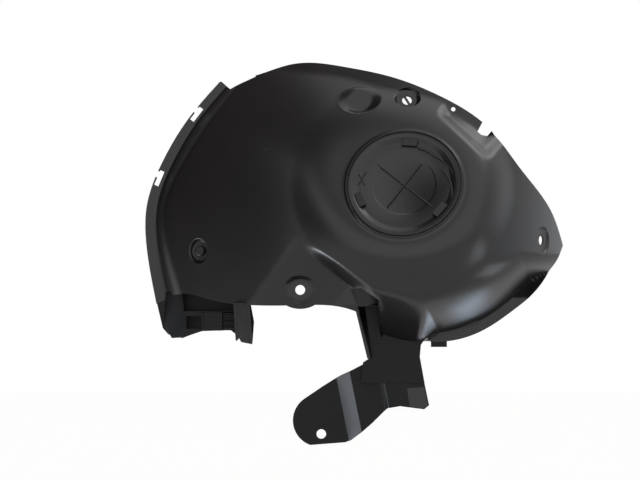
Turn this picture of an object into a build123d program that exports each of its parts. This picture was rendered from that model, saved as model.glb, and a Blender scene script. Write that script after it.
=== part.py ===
from build123d import *
import math
import os

os.makedirs("parts", exist_ok=True)

# The frame: the screw hole in the foot of the arm is the origin, and the foot's near face is Y = 0.
# X runs along the car, Z is up, and -Y looks into the engine bay, where the liner bulges out.
# Heights are counted from the plane of the fender lip towards -Y.
LIP_Y = 40.0
SKIN = 2.5

# Wheel arch lip, an arc about the wheel's axis
WHEEL_X = 143.0
WHEEL_Z = 174.4
LIP_R = 386.0
LIP_END_INSET = 2.5
LIP_WIDTH = 15.0
LIP_WALL_RISE = 2.6
BEAD = 1.0
LIP_SLOT = 20.0
LIP_SLOT_DEEP = 8.0
LIP_TOOTH = 2.2
LIP_MOUTH = 8.0
LIP_MOUTH_SHIFT = -4.0
LIP_SLOT_ANGLES = (142.6, 156.9)

# Bulge over the wheel: crown and how fast it falls to each side
CROWN_X = 147.0
CROWN_Z = 197.0
CROWN_H = 200.0
FALL_FRONT = 0.00144
FALL_REAR = 0.0064
FALL_TOP = 0.00193
FALL_LOW = 0.0010
FALL_BLEND = 1.5

# Lower front panel, pressed in below a ridge line
PANEL_A = (-25.0, 245.0)
PANEL_B = (41.0, 197.0)
PANEL_DEPTH = 48.0
PANEL_FLANK = 22.0

# Rolled lower rear wall and its flange
ROLL_A = (148.0, 129.0)
ROLL_B = (260.0, 197.0)
ROLL_SAG = 13.0
ROLL_LENGTH = 82.0
LOW_FLANGE_H = 55.0

# Pocket under the crown, above the arm
POCKET_X0 = 66.0
POCKET_X1 = 178.0
POCKET_Z = 128.0
POCKET_H = 66.0
POCKET_RISE = 2.15
POCKET_TURN = 0.61
POCKET_FLANK = 3.0

# Scoop beside the end of the upper flange
SCOOP_A = (151.0, 384.0)
SCOOP_B = (193.0, 344.0)
SCOOP_DEPTH = 9.0

# Upper flange plane, height = UP_H + UP_RISE * x
UP_H = 57.0
UP_RISE = 0.36

# Access opening for the lamp: a flat seat with a raised rim, and its twist-in cover
HATCH_X = 99.3
HATCH_Z = 311.8
HATCH_H = 173.0
SEAT_RISE_X = 0.16
SEAT_RISE_Z = -0.44
SEAT_R = 76.0
SEAT_BLEND = 62.0
OPEN_R = 63.5
RIM_R = 71.0
RIM_W = 1.8
RIM_PROUD = 3.0
RIM_DEEP = 9.0
TWIST_DEG = 30.0
LUG_ANGLES = (86.0, 201.0, 323.0)
LUG_R = 66.2
LUG_W = 18.0
LUG_THICK = 3.0
LUG_GAP = 1.0
COVER_GAP = 1.0
COVER_FLANGE_R = 68.2
COVER_FLANGE = 2.0
COVER_WINDOW_R = 64.7
COVER_WINDOW = 4.6
BLOCK_R = 55.5
BLOCK_DEEP = 9.0
BLOCK_W = 19.0
BLOCK_TALL = 6.0
RIB_PROUD = 0.8
CUP_R = 62.0
CUP_DEEP = 5.0
DISH_R = 38.0
DISH_DEEP = 1.5
CROSS_RIB = 1.4
CROSS_LONG = 44.0
CROSS_LONG_TURN = -39.0
CROSS_SHORT = 34.0
CROSS_SHORT_TURN = 56.0

# Round fixing cups: place on the skin and depth of the floor under it
PANEL_SCREW = (-25.8, 183.9)
PANEL_CUP_DEEP = 1.77
TIP_SCREW = (272.0, 244.4)
TIP_CUP_DEEP = 5.9
BLIND_BOSS = (47.7, 417.4)
BLIND_CUP_DEEP = 2.67
BLIND_CUP_R = 15.5
BAR_BOSS = (105.6, 417.0)
BAR_CUP_DEEP = 9.2
BAR_CUP_R = 13.0
BAR_W = 3.0
BAR_TURN = 30.0
SOCKET = (-150.0, 231.0)
SOCKET_DEEP = 9.78
SOCKET_R = 14.0
STUD_TALL = 5.0
SCREW_R = 6.0
WASHER_R = 15.0
CUP_WALL = 16.0
CUP_SKIRT = 9.0

# Arm with its stepped foot
ARM_H = 70.0
FOOT_H = 40.0
FOOT_MID_H = 60.0
FOOT_FOLD_LEAN = 0.2
FOOT_TOP_Z = 95.0
FOLD_Z = 30.0
FOOT_LENGTH = 125.0

# Sloping facet between the arm and the skin, set by its top corner
FACET_TOP = (48.0, 188.0)
FACET_DROP = 40.5
FACET_RISE_X = -0.69
FACET_RISE_Z = 0.646
FACET_THICK = 3.5

# Small hole in the upper flange
PEG_HOLE = (161.8, 405.2)
PEG_HOLE_R = 2.7

# Length of a cut to each side, past every wall
THROUGH = 300.0


def step(t):
    t = min(max(t, 0.0), 1.0)
    return t * t * (3 - 2 * t)


def lower_of(a, b, blend):
    t = max(blend - abs(a - b), 0.0) / blend
    return min(a, b) - t * t * blend / 4


def higher_of(a, b, blend):
    return -lower_of(-a, -b, blend)


def along_across(x, z, start, end):
    length = math.hypot(end[0] - start[0], end[1] - start[1])
    ux = (end[0] - start[0]) / length
    uz = (end[1] - start[1]) / length
    along = ((x - start[0]) * ux + (z - start[1]) * uz) / length
    across = (z - start[1]) * ux - (x - start[0]) * uz
    return along, across


def crown(x, z):
    u = x - CROWN_X
    w = z - CROWN_Z
    fall_u = (FALL_FRONT if u < 0 else FALL_REAR) * u * u
    fall_w = (FALL_TOP if w > 0 else FALL_LOW) * w * w
    total = fall_u**FALL_BLEND + fall_w**FALL_BLEND
    return CROWN_H - total ** (1 / FALL_BLEND)


def seat_height(x, z):
    return HATCH_H + SEAT_RISE_X * (x - HATCH_X) + SEAT_RISE_Z * (z - HATCH_Z)


def bulge(x, z):
    h = crown(x, z)
    along, across = along_across(x, z, PANEL_A, PANEL_B)
    h -= PANEL_DEPTH * step(0.9 * along + 0.1) * step(-across / PANEL_FLANK + 0.3)
    along, across = along_across(x, z, ROLL_A, ROLL_B)
    across += ROLL_SAG * max(0.0, 1 - (2 * along - 1) ** 2)
    short = max(1 - across / ROLL_LENGTH, 0.0)
    short = short * short if short < 1 else 2 * short - 1
    roll = LOW_FLANGE_H + (CROWN_H + 5 - LOW_FLANGE_H) * (1 - short)
    h = lower_of(h, roll, 25)
    pocket = POCKET_H + POCKET_RISE * (z - POCKET_Z) + POCKET_TURN * max(x - POCKET_X0, 0.0)
    pocket = higher_of(pocket, POCKET_H + POCKET_FLANK * (x - POCKET_X1), 20)
    h = lower_of(h, pocket, 14)
    reach = math.hypot(x - HATCH_X, (z - HATCH_Z) / 0.92)
    seat = seat_height(x, z)
    h = seat + (h - seat) * step((reach - SEAT_R) / SEAT_BLEND)
    along, across = along_across(x, z, SCOOP_A, SCOOP_B)
    h -= SCOOP_DEPTH * step(across / 14) * step(3 * along + 1.2) * step((1.2 - along) / 0.3)
    return h


def skin_height(x, z, lip_offset):
    h = bulge(x, z)
    h = higher_of(h, UP_H + UP_RISE * x - 3 * max(0.0, 395 - z), 5)
    h = higher_of(h, LOW_FLANGE_H - 2 * max(0.0, 138 - x) - 0.8 * max(0.0, z - 172), 5)
    h = lower_of(h, LIP_WALL_RISE * (lip_offset - LIP_WIDTH), 9)
    return higher_of(h, 0.0, 3) + BEAD * math.exp(-(((lip_offset - LIP_WIDTH) / 2.2) ** 2))


# Edges of the moulding seen along Y, each a smooth curve of x and z
def edge_curve(points):
    return Edge.make_spline([(x, 0, z) for x, z in points])


def lip_point(angle, inset=0.0):
    turn = math.radians(angle)
    radius = LIP_R - inset
    return WHEEL_X + radius * math.cos(turn), WHEEL_Z + radius * math.sin(turn)


front_edge = edge_curve(
    [
        (-211, 163),
        (-223.5, 235),
        (-225.3, 262),
        lip_point(163, LIP_END_INSET),
        lip_point(154),
        lip_point(144),
        lip_point(135),
    ]
)
top_edge = edge_curve(
    [
        lip_point(135),
        (-82, 453),
        (-42, 465.4),
        (-20, 467.7),
        (28, 461.3),
        (88, 446.7),
        (146, 422),
        (205, 381),
        (243, 333),
        (288, 278.5),
        (305, 238),
    ]
)
rear_edge = edge_curve([(72, 124), (115, 119), (160, 118), (200, 130), (240, 156), (277, 189), (305, 238)])
low_edge = edge_curve(
    [(-211, 163), (-197, 170), (-178, 177), (-140, 171), (-88, 165), (-25, 165), (28, 162), (54, 150), (72, 124)]
)

# Stations of the skin, closer together at the lip and along the upper and rear edges
LIP_ROWS = (0, 7, LIP_WIDTH - 2, LIP_WIDTH, LIP_WIDTH + 2.5, LIP_WIDTH + 7, LIP_WIDTH + 13, LIP_WIDTH + 20)
EDGE_ROWS = (0, 4, 8, 12, 18)
ACROSS = 38
UPWARD = 32
EDGE_TALL = 290.0
EDGE_WIDE = 420.0
top_rows = [1 - row / EDGE_TALL for row in reversed(EDGE_ROWS)]
stations = [top_rows[0] * j / UPWARD for j in range(UPWARD)] + top_rows


def patch_fraction(i, width):
    first = LIP_ROWS[-1] / width
    last = 1 - EDGE_ROWS[-1] / EDGE_WIDE
    past = i - len(LIP_ROWS) + 1
    if past <= 0:
        return LIP_ROWS[i] / width
    if past <= ACROSS:
        return first + (last - first) * past / ACROSS
    return 1 - EDGE_ROWS[len(EDGE_ROWS) - 1 + ACROSS - past] / EDGE_WIDE


def patch_column(i):
    column = []
    for t in stations:
        front = front_edge.position_at(t)
        rear = rear_edge.position_at(t)
        width = (rear - front).length
        s = patch_fraction(i, width)
        low = low_edge.position_at(s)
        top = top_edge.position_at(s)
        a = low_edge.position_at(0) * (1 - t) + top_edge.position_at(0) * t
        b = low_edge.position_at(1) * (1 - t) + top_edge.position_at(1) * t
        p = low * (1 - t) + top * t + (front - a) * (1 - s) + (rear - b) * s
        column.append((p.X, p.Z, skin_height(p.X, p.Z, s * width)))
    return column


columns = [patch_column(i) for i in range(len(LIP_ROWS) + ACROSS + len(EDGE_ROWS) - 1)]


def steepness(i, j):
    total = 0.0
    last_i = len(columns) - 1
    last_j = len(stations) - 1
    pairs = (
        (columns[max(i - 1, 0)][j], columns[min(i + 1, last_i)][j]),
        (columns[i][max(j - 1, 0)], columns[i][min(j + 1, last_j)]),
    )
    for p, q in pairs:
        total += ((q[2] - p[2]) / math.hypot(q[0] - p[0], q[1] - p[1])) ** 2
    return min(math.sqrt(1 + total), 2.3)


def skin_face(thickness):
    wires = []
    for i, column in enumerate(columns):
        points = []
        for j, (x, z, h) in enumerate(column):
            points.append((x, LIP_Y - h + thickness * steepness(i, j), z))
        wires.append(Wire([Edge.make_spline(points, parameters=stations)]))
    return Shell.make_loft(wires).faces()[0]


outer_skin = skin_face(0)
inner_skin = skin_face(SKIN)
skin_faces = [outer_skin, inner_skin]
for edge in outer_skin.edges():
    middle = edge.position_at(0.5)
    partner = min(inner_skin.edges(), key=lambda other: (other.position_at(0.5) - middle).length)
    skin_faces.append(Face.make_surface_from_curves(edge, partner))
skin_solid = Solid(Shell(skin_faces))


def at(x, z, h):
    return Vector(x, LIP_Y - h, z)


def plate(points, level, rise_x=0.0, rise_z=0.0, thick=SKIN):
    corners = [at(x, z, level + rise_x * x + rise_z * z) for x, z in points]
    extrude(Face(Wire.make_polygon(corners)), amount=thick, dir=(0, 1, 0))


def web(corners, thick=SKIN):
    extrude(Face(Wire.make_polygon([at(*corner) for corner in corners])), amount=thick, dir=(1, 0, 0))


def block(x0, x1, z0, z1, h0, h1, mode=Mode.ADD):
    with Locations(at((x0 + x1) / 2, (z0 + z1) / 2, (h0 + h1) / 2)):
        Box(x1 - x0, h1 - h0, z1 - z0, mode=mode)


def facing(x, z, h, out_x=0.0, out_z=0.0):
    return Plane(origin=at(x, z, h), x_dir=(1, out_x, 0), z_dir=(out_x, -1, out_z))


hatch = Plane(at(HATCH_X, HATCH_Z, HATCH_H), (1, -SEAT_RISE_X, 0), (-SEAT_RISE_X, -1, -SEAT_RISE_Z))


# Fixing cups pressed into the skin: plane of the floor and radius
def cup(place, depth, radius, out_x=0.0, out_z=0.0):
    x, z = place
    return facing(x, z, bulge(x, z) - depth, out_x, out_z), radius


PANEL_CUP = cup(PANEL_SCREW, PANEL_CUP_DEEP, WASHER_R)
TIP_CUP = cup(TIP_SCREW, TIP_CUP_DEEP, WASHER_R, 1.5, 0.0)
BLIND_CUP = cup(BLIND_BOSS, BLIND_CUP_DEEP, BLIND_CUP_R, -0.05, 0.4)
BAR_CUP = cup(BAR_BOSS, BAR_CUP_DEEP, BAR_CUP_R, 0.0, 0.4)
SOCKET_CUP = cup(SOCKET, SOCKET_DEEP, SOCKET_R, -0.55, 0.0)
CUPS = (PANEL_CUP, TIP_CUP, BLIND_CUP, BAR_CUP, SOCKET_CUP)


# The facet's plane, and its height over the lip
facet_level = bulge(*FACET_TOP) - FACET_DROP - FACET_RISE_X * FACET_TOP[0] - FACET_RISE_Z * FACET_TOP[1]


def facet_height(x, z):
    return facet_level + FACET_RISE_X * x + FACET_RISE_Z * z


with BuildPart() as under_skin:
    extrude(outer_skin, amount=40, dir=(0, 1, 0))

with BuildPart() as cup_walls:
    for floor, radius in CUPS:
        with BuildSketch(floor):
            Circle(radius + SKIN)
            Circle(radius, mode=Mode.SUBTRACT)
        extrude(amount=CUP_WALL)
    add(under_skin.part, mode=Mode.INTERSECT)

with BuildPart() as cup_floors:
    for floor, radius in CUPS:
        with BuildSketch(floor):
            Circle(radius + SKIN)
        extrude(amount=-SKIN)
        with BuildSketch(floor):
            Circle(radius + SKIN)
            Circle(radius, mode=Mode.SUBTRACT)
        extrude(amount=-CUP_SKIRT)

with BuildPart() as arm:
    with BuildSketch(Plane.XY.offset(FOOT_TOP_Z)):
        lean = FOOT_FOLD_LEAN * (FOOT_TOP_Z - FOLD_Z)
        upper = [(-50, FOOT_H), (29, FOOT_H), (45, FOOT_MID_H), (80, FOOT_MID_H), (86, ARM_H), (104, ARM_H), (150, 61)]
        near = [(x - lean, LIP_Y - h) for x, h in upper]
        far = [(x, y + SKIN) for x, y in reversed(near)]
        Polygon(*near, *far, align=None)
    extrude(amount=FOOT_LENGTH, dir=(FOOT_FOLD_LEAN, 0, -1))
    with BuildSketch(Plane.XZ) as foot_outline:
        with BuildLine():
            Polyline((58, 92), (26, 75.4), (1, 59.7), (-21.8, 44.2))
            ThreePointArc((-21.8, 44.2), (-35.5, 12), (-14, -13.9))
            Polyline((-14, -13.9), (30, -10.5), (37, -8), (63.6, 15.2), (83.4, 34.8), (98.4, 37.3), (128.6, 33.1))
            Polyline((128.6, 33.1), (134.9, 38.1), (128.4, 68.5), (124, 92), (58, 92))
        make_face()
    extrude(amount=120, both=True, mode=Mode.INTERSECT)
    block(52, 86, 68, 95, 50, 66, mode=Mode.SUBTRACT)
    block(50, 88, 66, 68.5, FOOT_MID_H - SKIN, ARM_H)
    plate(
        [
            (50, 166),
            (60, 97),
            (52, 92),
            (50, 66),
            (129, 66),
            (123, 99),
            (124.4, 114),
            (130, 122),
            (142, 124),
            (142, 130),
            (74, 132),
            (70, 166),
        ],
        ARM_H,
    )
    web([(50, 166, ARM_H), (60, 97, ARM_H), (57, 97, ARM_H + 8.4), (40, 166, ARM_H + 28)])
    web([(69, 172, ARM_H - 2), (74, 124, ARM_H - 2), (74, 124, ARM_H), (69, 172, bulge(69, 172) - 11)])
    facet = [(36, 185), FACET_TOP, (71, 173), (70, 164), (43, 162.5), (37, 173)]
    plate(facet, facet_level, FACET_RISE_X, FACET_RISE_Z, FACET_THICK)
    block(44, 71, 162.5, 165, ARM_H - SKIN, facet_height(57, 164))
    facet_low = facet_height(71, 172) - 1
    web([(46, 188, facet_low + 12), (71, 172, facet_low), (71, 172, facet_low + 48), (46, 188, facet_low + 48)])

with BuildPart() as bracket:
    base = [(-211, 166), (-203, 132), (-196, 124), (-178, 119), (-150, 130), (-118, 131), (-101, 117), (-88, 113)]
    plate(base + [(-86, 140), (-92, 172), (-150, 190), (-207, 190)], 0.0)
    plate([(-199, 178), (-176, 178), (-172, 150), (-173, 122), (-190, 120), (-201, 135)], 301.0, 1.48, 0.0, 4.5)
    plate([(-174, 153), (-106, 156), (-106, 131), (-120, 131), (-150, 130), (-174, 122)], 45.0)
    block(-170, -151, 133, 149, 30, 60, mode=Mode.SUBTRACT)
    block(-175, -105, 152.5, 155, -SKIN, 45)
    block(-147, -124, 131, 154, 42, 55)
    block(-122, -106, 148.5, 150.5, 42, 58)
    block(-122, -106, 141, 143, 42, 58)
    block(-122, -106, 133.5, 135.5, 42, 58)
    plate([(-108, 168), (-89, 168), (-87, 113), (-101, 116), (-108, 131)], -124.0, 0.0, 1.44, 4.0)
    web([(-108, 168, -2), (-108, 118, -2), (-108, 118, 45), (-108, 168, 116)])

with BuildPart() as hatch_ring:
    with BuildSketch(hatch.offset(-RIM_DEEP)):
        Circle(RIM_R)
        Circle(RIM_R - RIM_W, mode=Mode.SUBTRACT)
    extrude(amount=RIM_DEEP + RIM_PROUD)
    with BuildSketch(hatch.offset(-SKIN)):
        Circle(RIM_R - RIM_W / 2)
        Circle(OPEN_R, mode=Mode.SUBTRACT)
        for angle in LUG_ANGLES:
            with Locations(Rot(0, 0, angle + TWIST_DEG) * Pos((CUP_R + LUG_R) / 2, 0)):
                Rectangle(LUG_R - CUP_R + 2 * LUG_GAP, LUG_W + 2 * LUG_GAP, mode=Mode.SUBTRACT)
    extrude(amount=SKIN)

with BuildPart() as liner:
    add(skin_solid)
    with BuildSketch(Plane.XZ) as arm_window:
        Polygon((46, 158), (40, 173), (36, 185), (48, 187), (70, 171.5), (75, 121), (64, 100), (50, 140), align=None)
    extrude(amount=THROUGH, both=True, mode=Mode.SUBTRACT)
    for floor, radius in CUPS:
        with BuildSketch(floor):
            Circle(radius)
        extrude(amount=20, both=True, mode=Mode.SUBTRACT)
    add(cup_walls.part)
    add(cup_floors.part)
    add(arm.part)
    add(bracket.part)
    with BuildSketch(hatch):
        Circle(RIM_R - RIM_W / 2)
    extrude(amount=30, both=True, mode=Mode.SUBTRACT)
    add(hatch_ring.part)
    block(137.6, 157.7, 110.5, 121, LOW_FLANGE_H - SKIN, LOW_FLANGE_H)
    for angle in LIP_SLOT_ANGLES:
        x, z = lip_point(angle)
        turn = math.radians(angle)
        with BuildSketch(Plane((x, LIP_Y, z), (math.cos(turn), 0, math.sin(turn)), (0, -1, 0))):
            with Locations((-(LIP_SLOT_DEEP + LIP_TOOTH) / 2, 0)):
                Rectangle(LIP_SLOT_DEEP - LIP_TOOTH, LIP_SLOT)
            with Locations((0, LIP_MOUTH_SHIFT)):
                Rectangle(LIP_SLOT_DEEP, LIP_MOUTH)
        extrude(amount=12, both=True, mode=Mode.SUBTRACT)
    with BuildSketch(Plane.XZ):
        Polygon((-127.5, 447.5), (-115.5, 436.5), (-83, 451), (-83, 480), (-127.5, 480), align=None)
        Polygon((197, 389), (190.4, 377), (195.3, 372.8), (202.6, 371.8), (205, 374.2), (214, 385), align=None)
        with Locations(PEG_HOLE):
            Circle(PEG_HOLE_R)
        with Locations((0, 0), PANEL_SCREW):
            Circle(SCREW_R)
    extrude(amount=THROUGH, both=True, mode=Mode.SUBTRACT)
    with BuildSketch(TIP_CUP[0]):
        Circle(SCREW_R)
    extrude(amount=20, both=True, mode=Mode.SUBTRACT)
    with BuildSketch(BAR_CUP[0]):
        Circle(SCREW_R)
        Rectangle(BAR_W, 3 * SCREW_R, rotation=BAR_TURN, mode=Mode.SUBTRACT)
    extrude(amount=CUP_WALL / 2, both=True, mode=Mode.SUBTRACT)
    with BuildSketch(SOCKET_CUP[0]):
        Circle(SCREW_R)
    extrude(amount=STUD_TALL)

with BuildPart() as access_cover:
    with BuildSketch(hatch.offset(COVER_GAP)):
        Circle(COVER_FLANGE_R)
    extrude(amount=COVER_FLANGE)
    with BuildSketch(hatch.offset(-CUP_DEEP)):
        Circle(CUP_R)
    extrude(amount=CUP_DEEP + COVER_GAP)
    with BuildSketch(hatch.offset(-CUP_DEEP + SKIN)):
        Circle(CUP_R - SKIN)
    extrude(amount=CUP_DEEP + 10, mode=Mode.SUBTRACT)
    with BuildSketch(hatch.offset(-CUP_DEEP)):
        Circle(DISH_R + SKIN)
    extrude(amount=-DISH_DEEP)
    with BuildSketch(hatch.offset(-CUP_DEEP + SKIN)):
        Circle(DISH_R)
    extrude(amount=-DISH_DEEP, mode=Mode.SUBTRACT)
    with BuildSketch(hatch.offset(-CUP_DEEP)):
        with Locations(Rot(0, 0, CROSS_LONG_TURN)):
            Rectangle(2 * CROSS_LONG, CROSS_RIB)
        with Locations(Rot(0, 0, CROSS_SHORT_TURN)):
            Rectangle(2 * CROSS_SHORT, CROSS_RIB)
    extrude(amount=SKIN + RIB_PROUD)
    with BuildSketch(hatch.offset(-CUP_DEEP + 1)):
        for angle in LUG_ANGLES:
            with Locations(Rot(0, 0, angle) * Pos(BLOCK_R, 0)):
                Rectangle(BLOCK_DEEP, BLOCK_W)
    extrude(amount=BLOCK_TALL)
    with BuildSketch(hatch.offset(-SKIN - COVER_GAP)):
        for angle in LUG_ANGLES:
            with Locations(Rot(0, 0, angle) * Pos((CUP_R + LUG_R - 1) / 2, 0)):
                Rectangle(LUG_R - CUP_R + 1, LUG_W)
    extrude(amount=-LUG_THICK)
    with BuildSketch(hatch.offset(COVER_GAP / 2)):
        for angle in LUG_ANGLES:
            with Locations(Rot(0, 0, angle) * Pos(COVER_WINDOW_R, 0)):
                Rectangle(COVER_WINDOW, LUG_W - 2)
    extrude(amount=COVER_FLANGE + COVER_GAP, mode=Mode.SUBTRACT)

liner.part.label = "liner"
export_step(liner.part, "parts/liner.step")
access_cover.part.label = "access_cover"
export_step(access_cover.part, "parts/access_cover.step")
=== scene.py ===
# %% [markdown]
# A wheel arch liner is a thin black plastic moulding that keeps road dirt away from the inner wing.
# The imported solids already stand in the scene, in metres, once the frame is loaded.
# Their box is kept from the start, because the dressed part may not grow out of it.

# %% Load the frame
import math

import bmesh
import bpy
import numpy as np
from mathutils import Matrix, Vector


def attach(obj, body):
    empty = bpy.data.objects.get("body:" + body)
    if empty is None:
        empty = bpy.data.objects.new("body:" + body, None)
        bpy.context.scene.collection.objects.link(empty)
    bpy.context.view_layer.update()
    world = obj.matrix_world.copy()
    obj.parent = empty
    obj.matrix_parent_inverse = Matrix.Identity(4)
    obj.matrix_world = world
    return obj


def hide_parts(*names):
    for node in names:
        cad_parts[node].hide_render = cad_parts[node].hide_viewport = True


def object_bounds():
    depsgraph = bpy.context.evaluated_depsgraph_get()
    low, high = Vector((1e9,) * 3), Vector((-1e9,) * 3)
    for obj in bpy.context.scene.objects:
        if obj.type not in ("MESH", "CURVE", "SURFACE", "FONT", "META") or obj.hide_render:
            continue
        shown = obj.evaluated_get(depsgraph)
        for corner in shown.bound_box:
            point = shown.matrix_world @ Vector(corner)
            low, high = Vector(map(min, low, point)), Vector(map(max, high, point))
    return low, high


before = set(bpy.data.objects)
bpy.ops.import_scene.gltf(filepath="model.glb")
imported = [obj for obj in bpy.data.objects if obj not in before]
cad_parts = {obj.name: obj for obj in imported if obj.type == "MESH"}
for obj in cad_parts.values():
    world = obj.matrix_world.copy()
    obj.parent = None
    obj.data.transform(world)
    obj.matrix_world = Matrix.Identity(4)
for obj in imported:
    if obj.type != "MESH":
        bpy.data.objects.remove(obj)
cad_low, cad_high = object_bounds()
print("solids:", sorted(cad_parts), "box", tuple(cad_low), tuple(cad_high))

# %% [markdown]
# Shader networks are easier to read as sums than as a list of nodes and links.
# This small class wraps one output socket, so that 1 - mask or grain * 0.2 adds the Math node by itself.
# Every other node comes from its node method.


# %% Shader sums
class Signal:
    """One output socket of a node tree that can be used in Python sums."""

    def __init__(self, tree, socket=None):
        self.tree = tree
        self.socket = socket

    def node(self, kind, settings=None, inputs=None, output=0):
        """Adds a node, sets it up, feeds its sockets with numbers or signals and returns one output."""
        made = self.tree.nodes.new(kind)
        for name, value in (settings or {}).items():
            setattr(made, name, value)
        for key, value in (inputs or {}).items():
            self.feed(made.inputs[key], value)
        return Signal(self.tree, made.outputs[output])

    def feed(self, socket, value):
        """Links a signal to a socket, or writes a plain value there."""
        if isinstance(value, Signal):
            self.tree.links.new(value.socket, socket)
        else:
            socket.default_value = value

    def math(self, operation, first, second):
        return self.node("ShaderNodeMath", {"operation": operation}, {0: first, 1: second})

    def __add__(self, other):
        return self.math("ADD", self, other)

    def __radd__(self, other):
        return self.math("ADD", other, self)

    def __sub__(self, other):
        return self.math("SUBTRACT", self, other)

    def __rsub__(self, other):
        return self.math("SUBTRACT", other, self)

    def __mul__(self, other):
        return self.math("MULTIPLY", self, other)

    def __rmul__(self, other):
        return self.math("MULTIPLY", other, self)

    def ramp(self, low, high, start=0.0, end=1.0):
        """Runs smoothly from start to end while the signal goes from low to high."""
        settings = {"interpolation_type": "SMOOTHSTEP", "clamp": True}
        inputs = {"Value": self, "From Min": low, "From Max": high, "To Min": start, "To Max": end}
        return self.node("ShaderNodeMapRange", settings, inputs)

    def mix(self, first, second):
        """Blends two colours, with this signal as the share of the second."""
        inputs = {"Factor": self, 6: first, 7: second}
        return self.node("ShaderNodeMix", {"data_type": "RGBA"}, inputs, output=2)


# %% [markdown]
# The plastic is polypropylene, moulded black all through, with a satin skin.
# A flat black would look like a hole in the picture, so three quiet things vary over it.
# The tone drifts a little between a warm and a cool black, the gloss is patchy, and a fine grain breaks
# the shine.
# The arm and the bracket use a copy of the plastic that mirrors less and keeps one tone, which is painted
# shade for the dark room that their flat faces mirror.

# %% Satin black plastic
LINER_COOL = (0.0044, 0.0046, 0.0050, 1)
LINER_WARM = (0.0068, 0.0050, 0.0048, 1)
COVER_WARM = (0.0060, 0.0056, 0.0046, 1)
CLOUD_SCALE, SMEAR_SCALE, GRAIN_SCALE = 5.0, 28.0, 1400.0
CLOUD_DETAIL, SMEAR_DETAIL, GRAIN_DETAIL = 3.0, 4.0, 2.0
CLOUD_LOW, CLOUD_HIGH = 0.35, 0.65
GLOSS_DRIFT = 0.06
GRAIN_STRENGTH, GRAIN_DEPTH = 0.1, 0.0002


def new_material(name):
    material = bpy.data.materials.new(name)
    material.use_nodes = True
    tree = material.node_tree
    return material, tree, tree.nodes["Principled BSDF"]


def satin_plastic(name, tone, gloss, shine, warm=None):
    """A moulded plastic: a black tone, a middle roughness and, where the tone drifts, a warm black."""
    material, tree, surface = new_material(name)
    surface.inputs["Specular IOR Level"].default_value = shine
    surface.inputs["Base Color"].default_value = tone
    start = Signal(tree)
    place = start.node("ShaderNodeTexCoord", output="Object")

    def noise(scale, detail):
        return start.node("ShaderNodeTexNoise", inputs={"Vector": place, "Scale": scale, "Detail": detail})

    clouds = noise(CLOUD_SCALE, CLOUD_DETAIL)
    smears = noise(SMEAR_SCALE, SMEAR_DETAIL)
    grain = noise(GRAIN_SCALE, GRAIN_DETAIL)
    if warm:
        start.feed(surface.inputs["Base Color"], clouds.ramp(CLOUD_LOW, CLOUD_HIGH).mix(tone, warm))
    drift = (clouds - 0.5) * GLOSS_DRIFT + (smears - 0.5) * GLOSS_DRIFT
    start.feed(surface.inputs["Roughness"], gloss + drift)
    bump_inputs = {"Height": grain, "Strength": GRAIN_STRENGTH, "Distance": GRAIN_DEPTH}
    start.feed(surface.inputs["Normal"], start.node("ShaderNodeBump", inputs=bump_inputs))
    print("plastic", name)
    return material


liner_plastic = satin_plastic("liner_satin", LINER_COOL, gloss=0.30, shine=0.5, warm=LINER_WARM)
# Painted shade: this copy mirrors less, so the arm and the bracket look darker than the skin.
arm_plastic = satin_plastic("arm_satin", LINER_COOL, gloss=0.34, shine=0.2)
cover_plastic = satin_plastic("cover_satin", LINER_COOL, gloss=0.28, shine=0.5, warm=COVER_WARM)

# %% [markdown]
# Every piece below is worked out in millimetres, in the frame of the solids, and written in metres.
# A grid of points becomes a sheet of quads, and a loop of points pushed along a line becomes a prism.
# Modifiers then cut the sheet and give the edges their small radius.

# %% Mesh helpers
MM = 0.001
MERGE = 1e-7


def grid_faces(rows, columns, round_columns=False, round_rows=False):
    """Quads between neighbours of a grid that runs row by row.

    A round one joins its last line to its first.
    """
    corner = np.arange(rows * columns).reshape(rows, columns)
    if round_columns:
        corner = np.hstack([corner, corner[:, :1]])
    if round_rows:
        corner = np.vstack([corner, corner[:1]])
    quads = [corner[:-1, :-1], corner[1:, :-1], corner[1:, 1:], corner[:-1, 1:]]
    return np.stack(quads, -1).reshape(-1, 4).tolist()


def prism(loop, shift):
    """A closed solid: a flat loop of points, its copy moved by shift, and the quads between them."""
    loop = np.asarray(loop, float)
    count = len(loop)
    ring = np.arange(count)
    after = np.roll(ring, -1)
    sides = np.column_stack([ring, after, after + count, ring + count]).tolist()
    return np.vstack([loop, loop + shift]), [ring[::-1].tolist(), (ring + count).tolist()] + sides


def together(shapes):
    """Several shapes as one list of points and faces."""
    points, faces = [], []
    start = 0
    for some_points, some_faces in shapes:
        points.append(some_points)
        faces += [[start + corner for corner in face] for face in some_faces]
        start += len(some_points)
    return np.vstack(points), faces


def new_object(name, points, faces, solid=True):
    """A mesh object at the origin; poles are merged and the faces of a solid are turned outwards."""
    mesh = bpy.data.meshes.new(name)
    mesh.from_pydata((np.asarray(points) * MM).tolist(), [], faces)
    work = bmesh.new()
    work.from_mesh(mesh)
    bmesh.ops.remove_doubles(work, verts=work.verts, dist=MERGE)
    if solid:
        bmesh.ops.recalc_face_normals(work, faces=work.faces)
    work.to_mesh(mesh)
    work.free()
    made = bpy.data.objects.new(name, mesh)
    bpy.context.scene.collection.objects.link(made)
    return made


def add_modifier(piece, kind, **settings):
    modifier = piece.modifiers.new(kind.lower(), kind)
    for name, value in settings.items():
        setattr(modifier, name, value)


def settle(piece):
    """Writes what the modifiers make into the mesh itself."""
    bpy.context.view_layer.update()
    depsgraph = bpy.context.evaluated_depsgraph_get()
    result = bpy.data.meshes.new_from_object(piece.evaluated_get(depsgraph))
    piece.modifiers.clear()
    piece.data = result


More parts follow.
